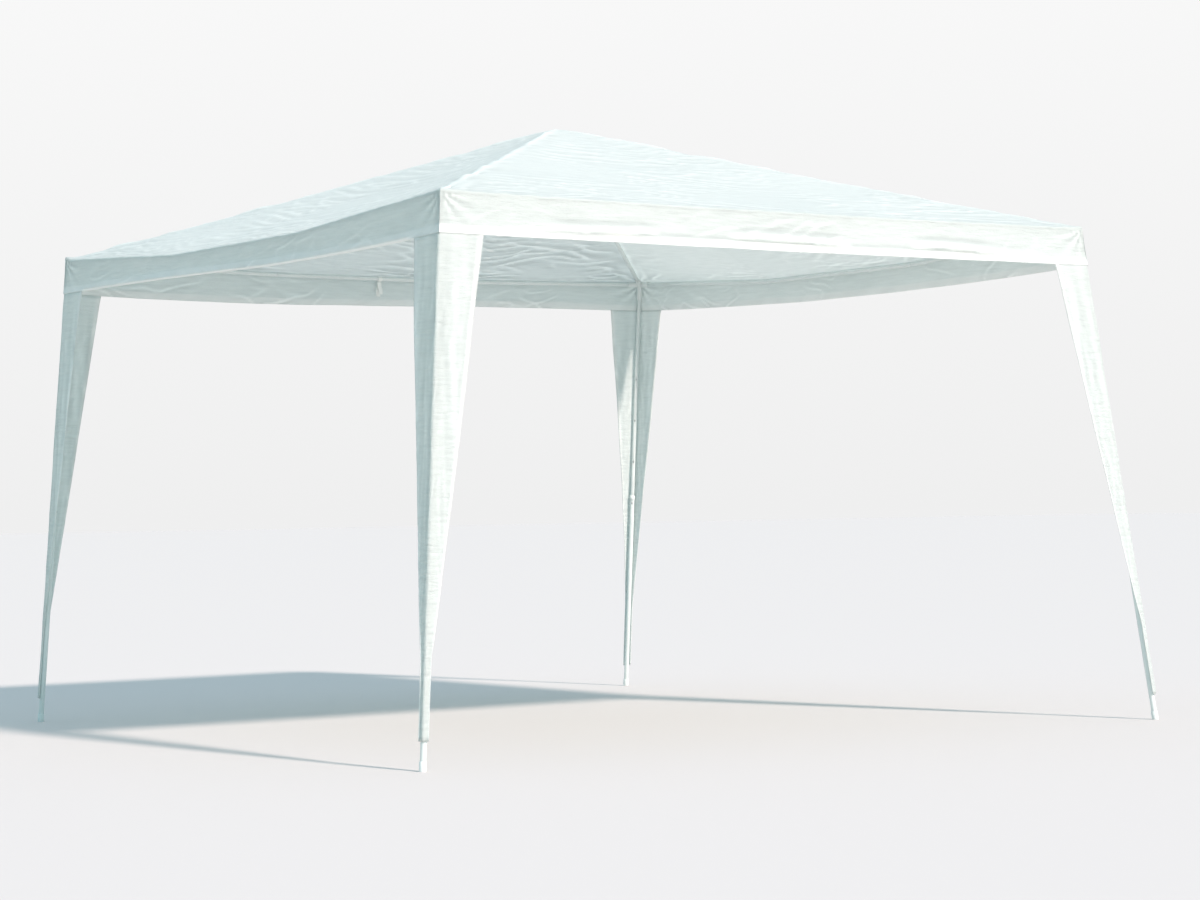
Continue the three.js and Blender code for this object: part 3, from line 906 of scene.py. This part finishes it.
def sheet_colour(tree, uv, slubs, tint, deep, hem_tint):
    """Clouds of two tints, darker slubs, the doubled hem's tint, and creases: whitened ridges, and
    painted shade in the hollows.
    """
    clouds = cloth_noise(tree, uv, (1.1, 2.3), 2.0, 0.5)
    colour = mixed(tree, ramped(tree, clouds, 0.35, 0.65), tint, deep)
    colour = mixed(tree, ramped(tree, slubs, 0.42, 0.72), colour, darker(deep, 0.955))
    colour = mixed(tree, attribute(tree, "hem"), colour, hem_tint)
    # Painted shade where the sheet bends into a hollow, whitening where it bends over a ridge
    bend = ramped(tree, attribute(tree, "crease"), -1.0, 1.0)
    crease_whitening_and_shade = mixed(tree, bend, CREASE_PAINTED_SHADE, CREASE_WHITENING_AND_HIGHLIGHT)
    return mixed(tree, 1.0, colour, crease_whitening_and_shade, blend="MULTIPLY")


def sheet_material(name, tint, deep, hem_tint, weave, streak, sheen, through=THROUGH):
    """Woven sheet: flat tapes over and under, long slubs along the eave, a doubled hem."""
    made, tree, shader = material(name)
    uv = add(tree, "ShaderNodeUVMap", uv_map="cloth").outputs["UV"]
    slubs = cloth_noise(tree, uv, (9.0, 95.0), 4.0, 0.6)
    threads = cloth_noise(tree, uv, (120.0, 14.0), 2.0, 0.5)
    crumple = cloth_noise(tree, uv, (11.0, 46.0), 5.0, 0.62)
    crumple = product(tree, crumple, attribute(tree, "crumple"))
    normal = bumped(tree, woven(tree, uv, weave), 0.35, 0.0003)
    normal = bumped(tree, slubs, streak, 0.0028, normal)
    normal = bumped(tree, threads, 0.25, 0.0008, normal)
    normal = bumped(tree, crumple, 1.0, CRUMPLE_HEIGHT, normal)
    colour = sheet_colour(tree, uv, slubs, tint, deep, hem_tint)
    tree.links.new(colour, shader.inputs["Base Color"])
    tree.links.new(spread(tree, slubs, *SHEET_ROUGHNESS), shader.inputs["Roughness"])
    tree.links.new(normal, shader.inputs["Normal"])
    shader.inputs["Sheen Weight"].default_value = sheen
    shader.inputs["Specular IOR Level"].default_value = SHEET_SPECULAR
    let_light_through(tree, shader, colour, normal, through)
    return made


def let_light_through(tree, shader, colour, normal, share):
    """Mixes in light from behind, as thin white sheet shows it."""
    glow = add(tree, "ShaderNodeBsdfTranslucent")
    tree.links.new(colour, glow.inputs["Color"])
    tree.links.new(normal, glow.inputs["Normal"])
    passing = add(tree, "ShaderNodeMath", operation="MULTIPLY_ADD")
    passing.inputs[1].default_value, passing.inputs[2].default_value = -HEM_BLOCKS * share, share
    tree.links.new(attribute(tree, "hem"), passing.inputs[0])
    both = add(tree, "ShaderNodeMixShader")
    tree.links.new(passing.outputs["Value"], both.inputs[0])
    tree.links.new(shader.outputs["BSDF"], both.inputs[1])
    tree.links.new(glow.outputs["BSDF"], both.inputs[2])
    out = next(n for n in tree.nodes if n.type == "OUTPUT_MATERIAL")
    tree.links.new(both.outputs["Shader"], out.inputs["Surface"])


def coated_material(name, colour, roughness, grain, depth, metallic=0.0):
    """Powder coat or moulded plastic: a fine skin over a slightly uneven colour."""
    made, tree, shader = material(name)
    place = add(tree, "ShaderNodeTexCoord").outputs["Object"]
    skin = add(tree, "ShaderNodeTexNoise", Scale=grain, Detail=3.0, Roughness=0.55)
    patches = add(tree, "ShaderNodeTexNoise", Scale=14.0, Detail=3.0, Roughness=0.6)
    for texture in (skin, patches):
        tree.links.new(place, texture.inputs["Vector"])
    uneven = ramped(tree, patches.outputs["Fac"], 0.35, 0.75)
    shade = mixed(tree, uneven, colour, darker(colour, 0.93))
    rough = spread(tree, patches.outputs["Fac"], roughness - 0.07, roughness + 0.09)
    tree.links.new(shade, shader.inputs["Base Color"])
    tree.links.new(rough, shader.inputs["Roughness"])
    tree.links.new(bumped(tree, skin.outputs["Fac"], 0.3, depth), shader.inputs["Normal"])
    shader.inputs["Metallic"].default_value = metallic
    return made


# Light, floor and camera

FLOOR_SHADE = 0.865      # the far floor as the camera sees it, so that no horizon shows
FLOOR_COLOUR = (0.635, 0.597, 0.572, 1)
FLOOR_HALF = 150.0
BACKDROP_TOP = 0.99
SKY_LOW, SKY_HIGH = (0.14, 0.42, 0.42, 1), (0.82, 0.98, 1.17, 1)
SKY_RISE, BACKDROP_RISE = (0.10, 0.95), (0.0, 0.30)  # both by the direction's own Z
SUN_STRENGTH, SUN_SPREAD, SUN_COLOUR = 4.25, math.radians(4.5), (1.0, 0.85, 0.80)
SUN_AZIMUTH, SUN_HEIGHT = math.radians(9), math.radians(36)
SUN_FROM = Vector((math.sin(SUN_AZIMUTH) * math.cos(SUN_HEIGHT),
                   -math.cos(SUN_AZIMUTH) * math.cos(SUN_HEIGHT), math.sin(SUN_HEIGHT)))


def grey(value):
    return (value, value, value, 1)


def make_world():
    """A blue-green sky that lights the object, and a pale backdrop that the camera sees."""
    world = bpy.data.worlds.new("soft_sky")
    world.use_nodes = True
    tree = world.node_tree
    tree.nodes.clear()
    split = add(tree, "ShaderNodeSeparateXYZ")
    tree.links.new(add(tree, "ShaderNodeTexCoord").outputs["Generated"], split.inputs["Vector"])
    up = split.outputs["Z"]
    sky = mixed(tree, ramped(tree, up, *SKY_RISE), SKY_LOW, SKY_HIGH)
    pale = mixed(tree, ramped(tree, up, *BACKDROP_RISE), grey(FLOOR_SHADE), grey(BACKDROP_TOP))
    chooser = add(tree, "ShaderNodeMixShader")
    seen = add(tree, "ShaderNodeLightPath").outputs["Is Camera Ray"]
    tree.links.new(seen, chooser.inputs["Fac"])
    for place, colour in ((1, sky), (2, pale)):
        background = add(tree, "ShaderNodeBackground")
        tree.links.new(colour, background.inputs["Color"])
        tree.links.new(background.outputs["Background"], chooser.inputs[place])
    out = add(tree, "ShaderNodeOutputWorld")
    tree.links.new(chooser.outputs["Shader"], out.inputs["Surface"])
    bpy.context.scene.world = world


def make_sun():
    data = bpy.data.lights.new("key", "SUN")
    data.energy = SUN_STRENGTH
    data.angle = SUN_SPREAD
    data.color = SUN_COLOUR
    sun = bpy.data.objects.new("key", data)
    sun.rotation_mode = "QUATERNION"
    sun.rotation_quaternion = SUN_FROM.to_track_quat("Z", "Y")
    bpy.context.scene.collection.objects.link(sun)


def make_floor():
    corners = [(x * FLOOR_HALF, y * FLOOR_HALF, 0) for x, y in ((-1, -1), (1, -1), (1, 1), (-1, 1))]
    floor = new_mesh("floor", corners, [(0, 1, 2, 3)], smooth=False)
    made, _, shader = material("pale_floor")
    shader.inputs["Base Color"].default_value = FLOOR_COLOUR
    shader.inputs["Roughness"].default_value = 0.9
    shader.inputs["Specular IOR Level"].default_value = 0.1
    floor.data.materials.append(made)


def make_camera():
    """Yaw turns from +Y towards +X, pitch goes up, and roll turns the view about itself."""
    yaw, pitch, roll = CAMERA_YAW, CAMERA_PITCH, CAMERA_ROLL
    forward = Vector((math.sin(yaw) * math.cos(pitch), math.cos(yaw) * math.cos(pitch),
                      math.sin(pitch)))
    level = Vector((math.cos(yaw), -math.sin(yaw), 0))
    above = level.cross(forward)
    right = level * math.cos(roll) + above * math.sin(roll)
    up = above * math.cos(roll) - level * math.sin(roll)
    data = bpy.data.cameras.new("camera")
    data.sensor_width = SENSOR_WIDTH
    data.lens = CAMERA_FOCAL * SENSOR_WIDTH
    data.clip_end = 500
    camera = bpy.data.objects.new("camera", data)
    turn = Matrix((right, up, -forward)).transposed()
    camera.matrix_world = Matrix.Translation(CAMERA_PLACE) @ turn.to_4x4()
    bpy.context.scene.collection.objects.link(camera)
    bpy.context.scene.camera = camera


# The whole scene

make_camera()
make_world()
make_sun()
make_floor()
bpy.context.scene.view_settings.view_transform = "Standard"

SHEET = sheet_material("white_woven_sheet", (0.865, 0.89, 0.88, 1), (0.84, 0.87, 0.86, 1),
                       (0.885, 0.905, 0.895, 1), weave=900.0, streak=0.45, sheen=0.15)
TAPE = sheet_material("woven_tape", (0.97, 0.99, 0.97, 1), (0.95, 0.97, 0.95, 1),
                      (0.97, 0.99, 0.97, 1), weave=2200.0, streak=0.2, sheen=0.1, through=0.1)
ENAMEL = coated_material("white_powder_coat", (0.75, 0.81, 0.795, 1), 0.36, 900.0, 0.0002)
PLASTIC = coated_material("white_plastic", (0.78, 0.83, 0.815, 1), 0.5, 1600.0, 0.00015)
STEEL = coated_material("bright_steel", (0.62, 0.63, 0.64, 1), 0.3, 2500.0, 0.0001, metallic=1.0)

canopy = canopy_sheet()
canopy.data.materials.append(SHEET)
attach(canopy, "root")

for number, corner in enumerate(CORNERS):
    cover = leg_cover(corner, number)
    cover.data.materials.append(SHEET)
    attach(cover, "root")
    seam = Vector(EDGES[corner][0])
    seam.z = EAVE_Z - HEM_DROP[corner]
    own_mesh(cover)

ribbon = tie_ribbon()
ribbon.data.materials.append(TAPE)
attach(ribbon, "root")

EDGE_ROUNDING = 0.0004   # of tubes and mouldings
SHARP_ANGLE = math.radians(50)
FINISHES = {
    ("apex_connector", "corner_connector"): PLASTIC,
    ("hip_tube", "eave_tube", "upper_leg", "lower_leg"): ENAMEL,
    ("leg_collar", "foot"): PLASTIC,
    ("snap_button",): STEEL,
}


def finish_node(node, made):
    """Gives a CAD node its material and slightly rounded edges."""
    node.data.materials.clear()
    node.data.materials.append(made)
    weld = node.modifiers.new("weld", "WELD")
    weld.merge_threshold = 1e-5
    bevel = node.modifiers.new("bevel", "BEVEL")
    bevel.width = EDGE_ROUNDING
    bevel.segments = 2
    bevel.limit_method = "ANGLE"
    bevel.angle_limit = SHARP_ANGLE
    node.data.shade_smooth()


for name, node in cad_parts.items():
    for prefixes, made in FINISHES.items():
        if name.startswith(prefixes):
            finish_node(node, made)
